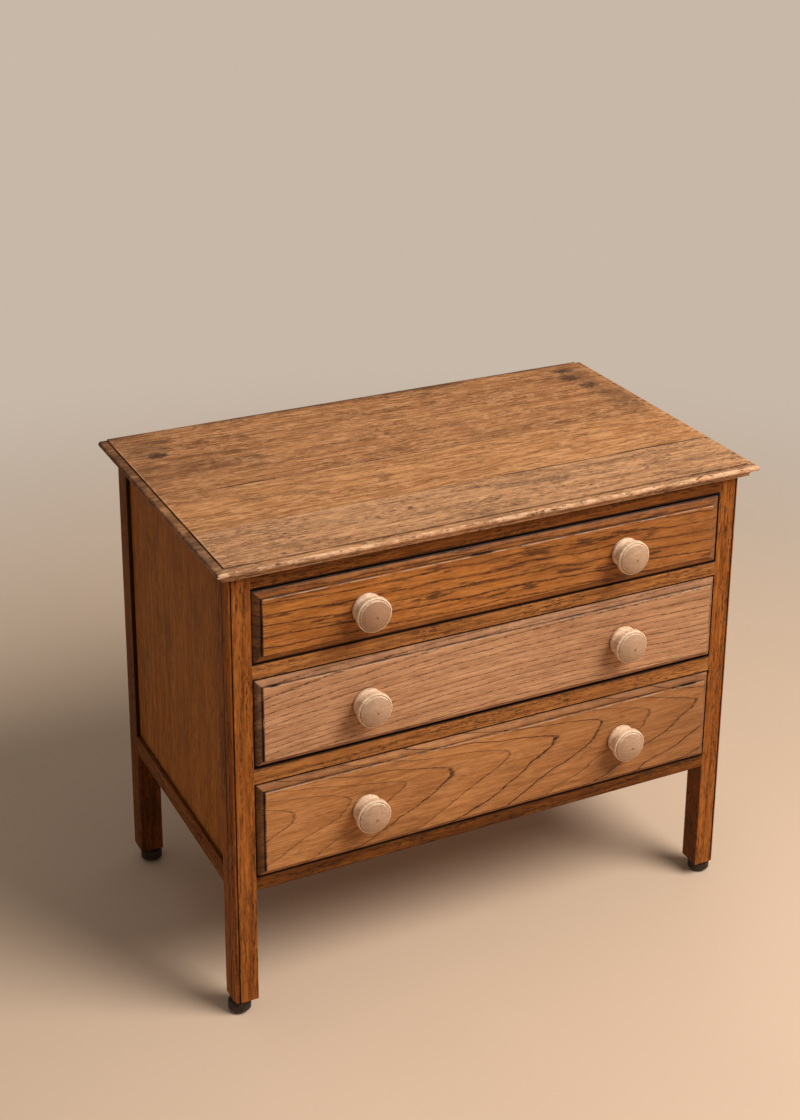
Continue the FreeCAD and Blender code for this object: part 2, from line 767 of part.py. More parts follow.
def main():
    os.makedirs("parts", exist_ok=True)
    pieces = build()
    for name, shape in pieces.items():
        shape.exportStep("parts/%s.step" % name)
    print("%d pieces written" % len(pieces))


main()
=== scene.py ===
import math
import random

import bmesh
import bpy
from mathutils import Matrix, Vector


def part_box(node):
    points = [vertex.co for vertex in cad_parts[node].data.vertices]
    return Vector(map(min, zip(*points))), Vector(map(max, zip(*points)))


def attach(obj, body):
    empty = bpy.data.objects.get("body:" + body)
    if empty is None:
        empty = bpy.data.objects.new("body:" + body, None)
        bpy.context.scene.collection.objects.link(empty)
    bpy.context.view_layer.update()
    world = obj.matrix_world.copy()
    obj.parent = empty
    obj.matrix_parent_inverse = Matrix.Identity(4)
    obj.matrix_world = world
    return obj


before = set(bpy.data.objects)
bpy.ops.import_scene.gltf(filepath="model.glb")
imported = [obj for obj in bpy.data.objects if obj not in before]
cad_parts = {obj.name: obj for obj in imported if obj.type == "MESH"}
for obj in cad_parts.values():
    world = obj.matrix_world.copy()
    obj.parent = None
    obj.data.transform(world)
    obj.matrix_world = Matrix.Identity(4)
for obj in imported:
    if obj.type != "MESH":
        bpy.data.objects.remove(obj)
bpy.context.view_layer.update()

# Everything is in metres, in the part's own frame: +Z up, the drawers face -Y.

FRONT_BOARD_LOW, FRONT_BOARD_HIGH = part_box("top_board_front")
BACK_BOARD_LOW, BACK_BOARD_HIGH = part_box("top_board_back")
PANEL_LOW, PANEL_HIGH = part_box("back_panel")
# width of the moulding round the top
TOP_MOULDING = 0.0148
# how far behind the face of its field the marks on a drawer front reach
FRONT_DEPTH = 0.0130
# the two quirks of a front leg's bead: how far each lies from the outer corner, and half its width
QUIRK_INWARD = 0.0075
QUIRK_BACK = 0.0155
QUIRK_HALF = 0.0018
# height, just under the lower side rail, above which the painted shade beside it deepens
SHADE_FOOT = 0.215
# a knob's front face: its radius, and how far back from the tip it reaches
KNOB_FACE_RADIUS = 0.0234
KNOB_FACE_DEPTH = 0.0080
# turning marks on a knob and faint rings on its face, in radians per metre
KNOB_TURNING = 4200.0
KNOB_RINGS = 1900.0
# reach of the darkening in narrow and wide gaps: dirt and painted shade
NARROW_GAP = 0.0035
WIDE_GAP = 0.014

# width: of the moulding round the field; lip: of the painted shadow strip along the upper edge
# crack: from where to where the upper quirk is cracked
# how dark the rest is: left (painted shade on the left end's moulding), right (painted shade over the
# right half), smudges (dirt)
DRAWER_FRONTS = {
    "top_drawer_front": dict(
        width=0.0125, lip=0.0022, crack=(-0.056, -0.006), left=0.52, right=0.24, smudges=0.8,
    ),
    "middle_drawer_front": dict(
        width=0.0105, lip=0.0008, crack=(-0.378, -0.350), left=0.40, right=0.10, smudges=0.15,
    ),
    "bottom_drawer_front": dict(
        width=0.0105, lip=0.0008, crack=(0.330, 0.372), left=0.42, right=0.30, smudges=0.20,
    ),
}


def srgb(red, green, blue):
    """A colour given as 0-255 screen values, as the linear colour a shader takes."""
    linear = []
    for value in (red, green, blue):
        value /= 255
        linear.append(value / 12.92 if value <= 0.04045 else ((value + 0.055) / 1.055) ** 2.4)
    return (*linear, 1.0)


# near-black brown: real dirt, and painted shade and shadow in gaps, quirks and corners
DIRT_AND_SHADE = srgb(30, 17, 9)


# Building shader graphs


class Graph:
    """Adds nodes to one new material and links them; a value may be a number or a socket."""

    def __init__(self, name):
        self.material = bpy.data.materials.new(name)
        self.material.use_nodes = True
        self.tree = self.material.node_tree
        self.tree.nodes.clear()
        self.output = self.tree.nodes.new("ShaderNodeOutputMaterial")

    def node(self, kind, **settings):
        made = self.tree.nodes.new(kind)
        for key, value in settings.items():
            setattr(made, key, value)
        return made

    def feed(self, socket, value):
        if isinstance(value, bpy.types.NodeSocket):
            self.tree.links.new(value, socket)
        else:
            socket.default_value = value

    def math(self, operation, *values):
        made = self.node("ShaderNodeMath", operation=operation)
        for socket, value in zip(made.inputs, values):
            self.feed(socket, value)
        return made.outputs[0]

    def add(self, a, b):
        return self.math("ADD", a, b)

    def less(self, a, b):
        return self.math("SUBTRACT", a, b)

    def times(self, *values):
        product = values[0]
        for value in values[1:]:
            product = self.math("MULTIPLY", product, value)
        return product

    def least(self, *values):
        smallest = values[0]
        for value in values[1:]:
            smallest = self.math("MINIMUM", smallest, value)
        return smallest

    def most(self, a, b):
        return self.math("MAXIMUM", a, b)

    def inverse(self, a):
        return self.less(1.0, a)

    def step(self, value, low, high):
        """0 below low, 1 above high, smooth between; with low above high it falls instead."""
        made = self.node("ShaderNodeMapRange", interpolation_type="SMOOTHSTEP")
        self.feed(made.inputs["Value"], value)
        made.inputs["From Min"].default_value = min(low, high)
        made.inputs["From Max"].default_value = max(low, high)
        return made.outputs[0] if low < high else self.inverse(made.outputs[0])

    def band(self, value, middle, half):
        """1 where the value is within half of the middle, with soft edges."""
        return self.step(self.math("ABSOLUTE", self.less(value, middle)), half, half * 0.4)

    def mix(self, factor, a, b):
        made = self.node("ShaderNodeMix", data_type="RGBA")
        self.feed(made.inputs[0], factor)
        self.feed(made.inputs[6], a)
        self.feed(made.inputs[7], b)
        return made.outputs[2]

    def place(self):
        """Object coordinates: each point's own place on the part at rest."""
        return self.node("ShaderNodeTexCoord").outputs["Object"]

    def split(self, vector):
        made = self.node("ShaderNodeSeparateXYZ")
        self.feed(made.inputs[0], vector)
        return made.outputs[:]

    def join(self, x, y, z):
        made = self.node("ShaderNodeCombineXYZ")
        for socket, value in zip(made.inputs, (x, y, z)):
            self.feed(socket, value)
        return made.outputs[0]

    def stretch(self, vector, scale, shift=(0, 0, 0)):
        made = self.node("ShaderNodeMapping")
        self.feed(made.inputs["Vector"], vector)
        made.inputs["Scale"].default_value = scale
        made.inputs["Location"].default_value = shift
        return made.outputs[0]

    def noise(self, vector, scale, shift=0.0, detail=2.0, roughness=0.5):
        """Noise with its own scale along each axis, in features per metre."""
        made = self.node("ShaderNodeTexNoise")
        offset = (shift, shift * 1.7, shift * 0.6)
        self.feed(made.inputs["Vector"], self.stretch(vector, scale, offset))
        made.inputs["Scale"].default_value = 1.0
        made.inputs["Detail"].default_value = detail
        made.inputs["Roughness"].default_value = roughness
        return made.outputs[0]

    def centred(self, value, amount):
        """Turns 0..1 into -amount..amount."""
        return self.times(self.less(value, 0.5), 2 * amount)

    def crevice(self, distance):
        """1 in corners and gaps narrower than the distance, 0 in the open."""
        made = self.node("ShaderNodeAmbientOcclusion", samples=6)
        made.inputs["Distance"].default_value = distance
        return self.inverse(made.outputs["AO"])

    def arris(self, distance):
        """1 along outside edges, 0 on flat ground."""
        made = self.node("ShaderNodeAmbientOcclusion", samples=6, inside=True, only_local=True)
        made.inputs["Distance"].default_value = distance
        return self.inverse(made.outputs["AO"])

    def rounded(self, radius):
        made = self.node("ShaderNodeBevel", samples=4)
        made.inputs["Radius"].default_value = radius
        return made.outputs[0]

    def bump(self, height, distance, normal):
        made = self.node("ShaderNodeBump")
        made.inputs["Distance"].default_value = distance
        self.feed(made.inputs["Height"], height)
        self.feed(made.inputs["Normal"], normal)
        return made.outputs[0]

    def surface(self, colour, roughness, normal=None, specular=0.5, metallic=0.0):
        shader = self.node("ShaderNodeBsdfPrincipled")
        self.feed(shader.inputs["Base Color"], colour)
        self.feed(shader.inputs["Roughness"], roughness)
        shader.inputs["Specular IOR Level"].default_value = specular
        shader.inputs["Metallic"].default_value = metallic
        if normal is not None:
            self.feed(shader.inputs["Normal"], normal)
        return shader.outputs[0]

    def finish(self, surface):
        self.tree.links.new(surface, self.output.inputs[0])
        return self.material


# Wood

# dark and light: the wood between two rings; line: the dark side of a ring; pore: the open
# pores; worn: rubbed edges. How strong each is: lines, rows (pores in rows along the rings),
# pores (scattered ones), streaks, clouds. rough and shine: the finish
OAK_LOOKS = {
    "top_back": dict(
        dark=srgb(142, 88, 48), light=srgb(206, 144, 92), line=srgb(92, 54, 30), pore=srgb(58, 35, 22),
        worn=srgb(222, 160, 110), lines=0.30, rows=0.3, pores=0.75, streaks=0.26, clouds=0.62,
        rough=0.54, shine=0.22,
    ),
    "top_middle": dict(
        dark=srgb(156, 98, 54), light=srgb(220, 158, 102), line=srgb(108, 64, 34), pore=srgb(72, 44, 26),
        worn=srgb(230, 170, 116), lines=0.55, rows=0.4, pores=0.50, streaks=0.22, clouds=0.42,
        rough=0.54, shine=0.22,
    ),
    "top_front": dict(
        dark=srgb(158, 106, 66), light=srgb(220, 164, 116), line=srgb(100, 66, 42), pore=srgb(48, 33, 26),
        worn=srgb(236, 184, 140), lines=0.30, rows=0.4, pores=0.95, streaks=0.34, clouds=0.36,
        rough=0.54, shine=0.24,
    ),
    "case": dict(
        dark=srgb(126, 66, 18), light=srgb(180, 106, 42), line=srgb(60, 28, 8), pore=srgb(32, 15, 5),
        worn=srgb(200, 128, 60), lines=0.5, rows=0.4, pores=0.7, streaks=0.38, clouds=0.24,
        rough=0.54, shine=0.14,
    ),
    # rear: a darker copy of case for the rear legs, which stand in shade: painted shade
    "rear": dict(
        dark=srgb(104, 54, 14), light=srgb(158, 90, 30), line=srgb(44, 20, 6), pore=srgb(26, 12, 4),
        worn=srgb(160, 96, 42), lines=0.5, rows=0.4, pores=0.7, streaks=0.5, clouds=0.4,
        rough=0.54, shine=0.08,
    ),
    "rail": dict(
        dark=srgb(136, 80, 32), light=srgb(188, 122, 64), line=srgb(72, 37, 14), pore=srgb(42, 21, 9),
        worn=srgb(204, 138, 78), lines=0.5, rows=0.5, pores=0.8, streaks=0.4, clouds=0.3,
        rough=0.54, shine=0.16,
    ),
    # a darker copy of rail for the top and bottom front rails and the lower side rails: painted shade
    "shaded_rail": dict(
        dark=srgb(104, 54, 15), light=srgb(154, 90, 34), line=srgb(50, 24, 8), pore=srgb(30, 14, 5),
        worn=srgb(178, 112, 54), lines=0.5, rows=0.5, pores=0.8, streaks=0.5, clouds=0.35,
        rough=0.54, shine=0.10,
    ),
    "panel": dict(
        dark=srgb(142, 81, 27), light=srgb(194, 121, 50), line=srgb(92, 47, 14), pore=srgb(70, 34, 10),
        worn=srgb(196, 124, 62), lines=0.3, rows=0.2, pores=0.45, streaks=0.26, clouds=0.42,
        rough=0.56, shine=0.12,
    ),
    "orange": dict(
        dark=srgb(148, 84, 30), light=srgb(198, 126, 60), line=srgb(66, 32, 12), pore=srgb(40, 19, 8),
        worn=srgb(204, 150, 106), lines=0.9, rows=0.45, pores=0.35, streaks=0.2, clouds=0.3,
        rough=0.54, shine=0.18,
    ),
    "pale": dict(
        dark=srgb(170, 118, 80), light=srgb(212, 158, 115), line=srgb(104, 66, 42), pore=srgb(84, 56, 38),
        worn=srgb(224, 178, 140), lines=0.62, rows=0.8, pores=0.25, streaks=0.18, clouds=0.24,
        rough=0.6, shine=0.18,
    ),
    "flame": dict(
        dark=srgb(158, 100, 52), light=srgb(198, 136, 82), line=srgb(74, 42, 20), pore=srgb(56, 31, 16),
        worn=srgb(210, 158, 116), lines=1.0, rows=0.6, pores=0.3, streaks=0.16, clouds=0.26,
        rough=0.54, shine=0.18,
    ),
    "lining": dict(
        dark=srgb(150, 112, 74), light=srgb(194, 156, 112), line=srgb(118, 80, 48), pore=srgb(84, 56, 34),
        worn=srgb(204, 172, 130), lines=0.4, rows=0.3, pores=0.5, streaks=0.3, clouds=0.35,
        rough=0.68, shine=0.2,
    ),
    "inner": dict(
        dark=srgb(112, 76, 46), light=srgb(158, 114, 74), line=srgb(80, 50, 28), pore=srgb(54, 34, 20),
        worn=srgb(172, 132, 92), lines=0.4, rows=0.3, pores=0.5, streaks=0.35, clouds=0.45,
        rough=0.72, shine=0.2,
    ),
}

# heart: where the middle of the log lies from the middle of the board (across, into it)
# ring, thick: width of the rings and of their dark lines; taper: how fast the log narrows
# skew: how much flatter the arches run above the heart; bend: how far the grain curves away
# lean: how far the heart runs off across the board; row: width of the pore rows
# sway, warp: how far the rings wander over a hand's breadth and over a finger's breadth
STRAIGHT = dict(
    heart=(0.060, 0.140), ring=0.0052, thick=0.0016, taper=0.010, skew=1.0, bend=0.0, lean=0.0,
    row=0.0014, sway=0.004, warp=0.0014,
)


def oak(name, node, look, grain, seed, cut, extra=None):
    """Old oak. grain gives the axes along, across and into the board, such as "xzy"."""
    g = Graph(name)
    tones = OAK_LOOKS[look]
    low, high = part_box(node)
    middle = (low + high) / 2
    sides = dict(zip("xyz", g.split(g.stretch(g.place(), (1, 1, 1), tuple(-middle)))))
    along, across, deep = (sides[axis] for axis in grain)
    board = g.join(along, across, deep)

    # growth rings about the heart of the log, cut by the board's surface
    over = g.less(across, g.add(cut["heart"][0], g.times(along, cut["lean"])))
    over = g.add(over, g.times(along, along, cut["bend"]))
    over = g.add(over, g.centred(g.noise(board, (2.6, 1.0, 1.0), seed, 3.0), cut["sway"]))
    over = g.add(g.times(g.most(over, 0.0), cut["skew"]), g.least(over, 0.0))
    into = g.less(deep, cut["heart"][1])
    radius = g.math("SQRT", g.add(g.times(over, over), g.times(into, into)))
    radius = g.add(radius, g.times(along, cut["taper"]))
    radius = g.add(radius, g.centred(g.noise(board, (11, 26, 26), seed + 3, 2.0), cut["warp"]))
    radius = g.add(radius, g.centred(g.noise(board, (110, 260, 260), seed + 5, 2.0), 0.0011))
    count = g.math("DIVIDE", radius, cut["ring"])
    phase = g.math("FRACT", count)
    year = g.node("ShaderNodeTexWhiteNoise", noise_dimensions="1D")
    g.feed(year.inputs["W"], g.math("FLOOR", count))
    vigour = g.step(year.outputs["Value"], 0.0, 1.0)
    thick = cut["thick"] / cut["ring"]
    line = g.times(g.step(phase, thick, thick * 0.4), g.add(0.6, g.times(vigour, 0.4)))
    early = g.step(phase, min(thick * 3.5, 0.9), 0.0)

    # fibres, and open pores: short dark dashes, scattered and in rows along the rings
    fibre = g.noise(board, (22, 380, 380), seed + 7, 3.0, 0.72)
    streak = g.noise(board, (4, 70, 70), seed + 9, 3.0, 0.6)
    patch = g.step(g.noise(board, (9, 34, 34), seed + 15, 3.0), 0.36, 0.62)
    dash = g.step(g.noise(board, (70, 560, 560), seed + 11, 2.0), 0.54, 0.63)
    scattered = g.times(dash, g.add(0.25, g.times(patch, 0.75)), tones["pores"])
    wide = cut["row"] / cut["ring"]
    row = g.step(phase, wide, wide * 0.6)
    beads = g.step(g.noise(board, (120, 210, 210), seed + 13, 1.0), 0.47, 0.57)
    pore = g.most(scattered, g.times(row, beads, g.add(0.35, g.times(vigour, 0.65)), tones["rows"]))

    tone = g.add(g.times(fibre, 0.66), g.times(streak, 0.34))
    tone = g.add(tone, g.times(g.less(0.5, phase), 0.08))
    colour = g.mix(g.step(tone, 0.34, 0.66), tones["dark"], tones["light"])
    dark = g.step(g.noise(board, (13, 210, 210), seed + 23, 3.0, 0.6), 0.53, 0.70)
    colour = g.mix(g.times(dark, tones["streaks"]), colour, tones["line"])
    broken = g.step(g.noise(board, (60, 260, 260), seed + 21, 2.0), 0.36, 0.56)
    broken = g.add(0.5, g.times(broken, 0.5))
    colour = g.mix(g.times(line, broken, tones["lines"]), colour, tones["line"])
    colour = g.mix(g.times(early, vigour, tones["lines"] * 0.26), colour, tones["line"])
    colour = g.mix(pore, colour, tones["pore"])

    # old finish: cloudy, rubbed pale along the edges, and darker in corners and gaps with dirt and
    # painted shade
    cloud = g.noise(board, (6, 14, 14), seed + 17, 6.0, 0.72)
    colour = g.mix(g.times(g.step(cloud, 0.48, 0.72), tones["clouds"]), colour, tones["line"])
    colour = g.mix(g.times(g.step(cloud, 0.46, 0.28), tones["clouds"] * 0.45), colour, tones["worn"])
    uneven = g.step(g.noise(board, (30, 60, 60), seed + 19, 3.0), 0.40, 0.6)
    rub = g.times(g.step(g.arris(0.0020), 0.24, 0.6), uneven)
    colour = g.mix(g.times(rub, 0.6), colour, tones["worn"])
    if extra:
        colour = extra(g, colour, cloud)
    # dirt and painted shade: ambient occlusion darkens quirks and corners, and blackens the gaps round
    # the drawers at rest
    dirt_and_shade = g.most(g.step(g.crevice(NARROW_GAP), 0.34, 0.8), g.step(g.crevice(WIDE_GAP), 0.48, 0.82))
    colour = g.mix(g.times(dirt_and_shade, 0.94), colour, DIRT_AND_SHADE)

    roughness = g.add(tones["rough"], g.add(g.centred(fibre, 0.08), g.times(pore, 0.2)))
    relief = g.add(g.times(fibre, 0.35), g.add(g.times(pore, -0.9), g.times(line, -0.4)))
    normal = g.bump(relief, 0.0005, g.rounded(0.0008))
    return g.finish(g.surface(colour, roughness, normal, specular=tones["shine"]))


# Marks of use

# x, y, half width, half depth and strength of each old stain on the top
STAINS = (
    (-0.385, 0.178, 0.017, 0.011, 0.80),
    (-0.363, 0.232, 0.018, 0.008, 0.62),
    (-0.395, 0.205, 0.034, 0.036, 0.30),
    (0.398, 0.165, 0.018, 0.012, 0.62),
    (0.386, 0.209, 0.019, 0.013, 0.60),
    (0.393, 0.245, 0.020, 0.009, 0.74),
    (0.400, 0.205, 0.036, 0.050, 0.34),
    (0.408, 0.085, 0.030, 0.080, 0.34),
    (0.020, 0.172, 0.030, 0.006, 0.34),
    (-0.212, -0.065, 0.012, 0.008, 0.34),
)
# y of each joint between boards, and the stretch of it that has opened and gathered dirt
JOINTS = (
    (FRONT_BOARD_HIGH.y, (0.06, 0.46)),
    (BACK_BOARD_LOW.y, (-0.34, 0.12)),
)


def stain(g, x, y, centre, size, ragged):
    """1 on a ragged blot of the top, fading out."""
    wide = g.math("DIVIDE", g.less(x, centre[0]), size[0])
    deep = g.math("DIVIDE", g.less(y, centre[1]), size[1])
    reach = g.add(g.times(wide, wide), g.times(deep, deep))
    return g.step(g.add(reach, g.centred(ragged, 2.6)), 1.5, 0.2)


def top_marks(g, colour, cloud):
    """The quirk inside the moulded edge, the joints between boards, and old dark stains."""
    place = g.place()
    x, y, z = g.split(place)
    front = g.less(y, FRONT_BOARD_LOW.y)
    left = g.less(x, FRONT_BOARD_LOW.x)
    edge = g.least(front, left, g.less(FRONT_BOARD_HIGH.x, x))
    uneven = g.step(g.noise(place, (24, 24, 24), 7.0, 4.0, 0.7), 0.34, 0.6)
    figure = g.step(g.noise(place, (46, 100, 100), 41.0, 4.0, 0.7), 0.50, 0.62)
    colour = g.mix(g.times(figure, 0.34), colour, srgb(232, 172, 122))
    # painted shade: the back of the top darker towards its left end
    shade = g.times(g.step(left, 0.20, 0.02), g.step(y, -0.10, 0.12))
    colour = g.mix(g.times(shade, g.step(cloud, 0.34, 0.58), 0.34), colour, srgb(92, 56, 34))

    upper = g.step(z, FRONT_BOARD_HIGH.z - 0.009, FRONT_BOARD_HIGH.z - 0.006)
    rim = g.times(g.step(edge, TOP_MOULDING, TOP_MOULDING - 0.0004), upper)
    on_left = g.step(g.less(front, left), -0.001, 0.001)
    colour = g.mix(g.times(rim, on_left, g.add(0.26, g.times(uneven, 0.46))), colour, srgb(66, 36, 18))
    # painted highlight, with rubbed wear: pale gleams along the front nose
    nose = g.times(
        g.step(front, 0.0052, 0.0030), g.inverse(on_left),
        g.step(z, FRONT_BOARD_HIGH.z - 0.010, FRONT_BOARD_HIGH.z - 0.006),
    )
    gleam = g.step(g.noise(place, (34, 50, 50), 27.0, 4.0, 0.7), 0.44, 0.60)
    colour = g.mix(g.times(nose, gleam, 0.55), colour, srgb(244, 198, 158))
    nick = g.step(g.noise(place, (90, 190, 190), 33.0, 3.0, 0.6), 0.60, 0.66)
    colour = g.mix(g.times(g.step(front, 0.0060, 0.0040), nick, 0.7), colour, srgb(74, 42, 24))
    lip = g.times(g.band(edge, TOP_MOULDING + 0.0012, 0.0011), uneven)
    colour = g.mix(g.times(lip, 0.62), colour, srgb(220, 160, 114))
    quirk = g.times(g.band(edge, TOP_MOULDING - 0.0008, 0.0011), g.add(0.4, g.times(uneven, 0.5)))
    colour = g.mix(quirk, colour, DIRT_AND_SHADE)

    gap = g.step(g.noise(place, (9, 400, 400), 3.0, 3.0, 0.6), 0.38, 0.54)
    for seam, (start, end) in JOINTS:
        colour = g.mix(g.times(g.band(y, seam, 0.0012), 0.45), colour, srgb(80, 52, 34))
        opened = g.times(g.step(x, start - 0.02, start + 0.02), g.step(x, end + 0.02, end - 0.02))
        opened = g.times(g.band(y, seam, 0.0026), opened, gap)
        colour = g.mix(g.times(opened, 0.9), colour, srgb(44, 28, 20))

    ragged = g.noise(place, (90, 190, 90), 11.0, 5.0, 0.76)
    for across, back, wide, deep, strength in STAINS:
        spot = stain(g, x, y, (across, back), (wide, deep), ragged)
        colour = g.mix(g.times(spot, strength), colour, srgb(40, 27, 21))
    grime = g.times(g.step(g.less(BACK_BOARD_HIGH.y, y), 0.016, 0.001), g.step(cloud, 0.3, 0.6))
    return g.mix(g.times(grime, 0.7), colour, srgb(70, 46, 32))


def front_board_marks(g, colour, cloud):
    """Grey smears along the front board, under the marks that all three boards share."""
    smear = g.step(g.noise(g.place(), (6, 34, 34), 31.0, 5.0, 0.7), 0.48, 0.64)
    colour = g.mix(g.times(smear, 0.34), colour, srgb(80, 60, 48))
    return top_marks(g, colour, cloud)


def drawer_marks(node):
    """Dirt and painted shade in the moulding round a drawer's field, painted shadow in its gaps, and the
    rubbed arris of the field, partly painted highlight.
    """
    low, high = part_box(node)
    wear_and_shade = DRAWER_FRONTS[node]
    width = wear_and_shade["width"]

    def marks(g, colour, cloud):
        place = g.place()
        x, y, z = g.split(place)
        left = g.less(x, low.x)
        right = g.less(high.x, x)
        under = g.less(z, low.z)
        over = g.less(high.z, z)
        edge = g.least(left, right, under, over)
        outside = g.step(g.less(y, low.y), FRONT_DEPTH, FRONT_DEPTH - 0.001)
        uneven = g.step(g.noise(place, (34, 34, 34), 5.0, 4.0, 0.7), 0.36, 0.6)

        # painted shade: the front darker towards its right end
        colour = g.mix(g.times(g.step(right, 0.46, 0.04), wear_and_shade["right"]), colour, srgb(98, 60, 36))
        smudge = g.step(g.noise(place, (7, 40, 50), 15.0, 3.0, 0.6), 0.52, 0.62)
        broken = g.step(g.noise(place, (34, 260, 260), 19.0, 2.0), 0.42, 0.54)
        colour = g.mix(g.times(smudge, broken, wear_and_shade["smudges"]), colour, srgb(58, 30, 14))

        # the moulding darker all round: dirt, and painted shade on its sloping faces
        rim = g.times(g.step(edge, width, width - 0.0004), outside)
        colour = g.mix(g.times(rim, g.add(0.22, g.times(uneven, 0.22))), colour, srgb(92, 48, 18))
        # painted shade: the moulding at the left end, which faces away from the light, much darker in
        # uneven patches
        left_end = g.times(rim, g.step(g.less(g.least(under, over), left), -0.0002, 0.0006))
        left_end = g.times(left_end, g.add(wear_and_shade["left"], g.times(uneven, 0.24)))
        colour = g.mix(left_end, colour, srgb(46, 30, 19))
        right_end = g.times(rim, g.step(g.less(g.least(under, over), right), -0.0002, 0.0006))
        colour = g.mix(g.times(right_end, g.add(0.15, g.times(uneven, 0.3))), colour, srgb(122, 94, 76))
        mitre = g.times(rim, g.band(g.less(over, left), 0.0, 0.0008))
        colour = g.mix(g.times(mitre, 0.6), colour, DIRT_AND_SHADE)
        quirk = g.times(g.band(edge, width - 0.0007, 0.0010), outside)
        colour = g.mix(g.times(quirk, g.add(0.45, g.times(uneven, 0.45))), colour, DIRT_AND_SHADE)
        # painted shade: a dark line along the field's left edge, where its step faces away from the light
        field_height = g.step(g.least(under, over), width - 0.001, width)
        seam = g.times(g.band(left, width + 0.0003, 0.0021), field_height)
        colour = g.mix(g.times(seam, outside, g.add(0.5, g.times(uneven, 0.42))), colour, DIRT_AND_SHADE)
        # painted shadow in the gaps: dark strips along the front's lower edge and its upper lip
        painted_gap_shadow = g.most(g.step(under, 0.0042, 0.0018), g.step(over, wear_and_shade["lip"], wear_and_shade["lip"] * 0.5))
        colour = g.mix(g.times(painted_gap_shadow, outside, 0.9), colour, DIRT_AND_SHADE)

        # the top arris is rubbed pale in places, partly painted highlight along the edge that faces up,
        # and its finish has chipped off beside the quirk
        chipped = g.step(g.noise(place, (60, 60, 260), 9.0, 4.0, 0.7), 0.50, 0.60)
        upper = g.times(
            g.step(over, width + 0.004, width + 0.003), g.step(left, width, width + 0.003), outside,
        )
        rubbed = g.times(g.band(edge, width + 0.0012, 0.0013), upper, uneven)
        colour = g.mix(g.times(rubbed, 0.6), colour, srgb(216, 180, 150))
        flaw = g.times(g.band(over, width - 0.0004, 0.0012), upper, chipped)
        colour = g.mix(g.times(flaw, 0.75), colour, srgb(84, 78, 74))
        start, end = wear_and_shade["crack"]
        along = g.times(g.step(x, start, start + 0.012), g.step(x, end, end - 0.012))
        cracked = g.times(g.band(over, width - 0.0004, 0.0022), along, outside)
        return g.mix(g.times(cracked, 0.95), colour, srgb(22, 13, 8))

    return marks


def rail_marks(node, above, below, overall=0.0):
    """Painted shadow along a front rail's upper and lower edge, in the gap where a drawer shuts beside
    it, and the whole rail darker by the overall amount.
    """
    low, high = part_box(node)

    def marks(g, colour, cloud):
        z = g.split(g.place())[2]
        # painted shadow: the rail's edges black where they border the drawer gaps
        upper = g.step(g.less(high.z, z), above, above * 0.5)
        lower = g.step(g.less(z, low.z), below, below * 0.5)
        return g.mix(g.most(g.times(g.most(upper, lower), 0.92), overall), colour, DIRT_AND_SHADE)

    return marks


def bead_marks(node):
    """Dark lines in the quirks of the bead on a front leg's outer corner, and painted shade on its inner
    face.
    """
    low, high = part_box(node)
    outer = max(abs(low.x), high.x)
    width = high.x - low.x

    def marks(g, colour, cloud):
        x, y, _ = g.split(g.place())
        inward = g.less(outer, g.math("ABSOLUTE", x))
        back = g.less(y, low.y)
        # painted shade: the leg's inner face, turned away from the light, darker
        inner = g.times(g.step(inward, width - 0.0012, width - 0.0004), g.step(back, 0.0010, 0.0020))
        colour = g.mix(g.times(inner, 0.38), colour, srgb(40, 18, 6))
        quirk = g.most(
            g.times(g.band(inward, QUIRK_INWARD, QUIRK_HALF), g.step(back, 0.004, 0.003)),
            g.times(g.band(back, QUIRK_BACK, QUIRK_HALF), g.step(inward, 0.004, 0.003)),
        )
        return g.mix(g.times(quirk, 0.92), colour, DIRT_AND_SHADE)

    return marks


def rear_leg_marks(node):
    """The face of a rear leg that looks along the side panel, black with painted shade."""
    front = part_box(node)[0].y

    def marks(g, colour, cloud):
        _, y, z = g.split(g.place())
        # painted shade on the face that looks along the side panel, deeper above the lower side rail
        inner = g.step(g.less(y, front), 0.003, 0.001)
        beside = g.add(0.35, g.times(g.step(z, SHADE_FOOT, SHADE_FOOT + 0.035), 0.5))
        return g.mix(g.times(inner, beside), colour, srgb(28, 13, 5))

    return marks


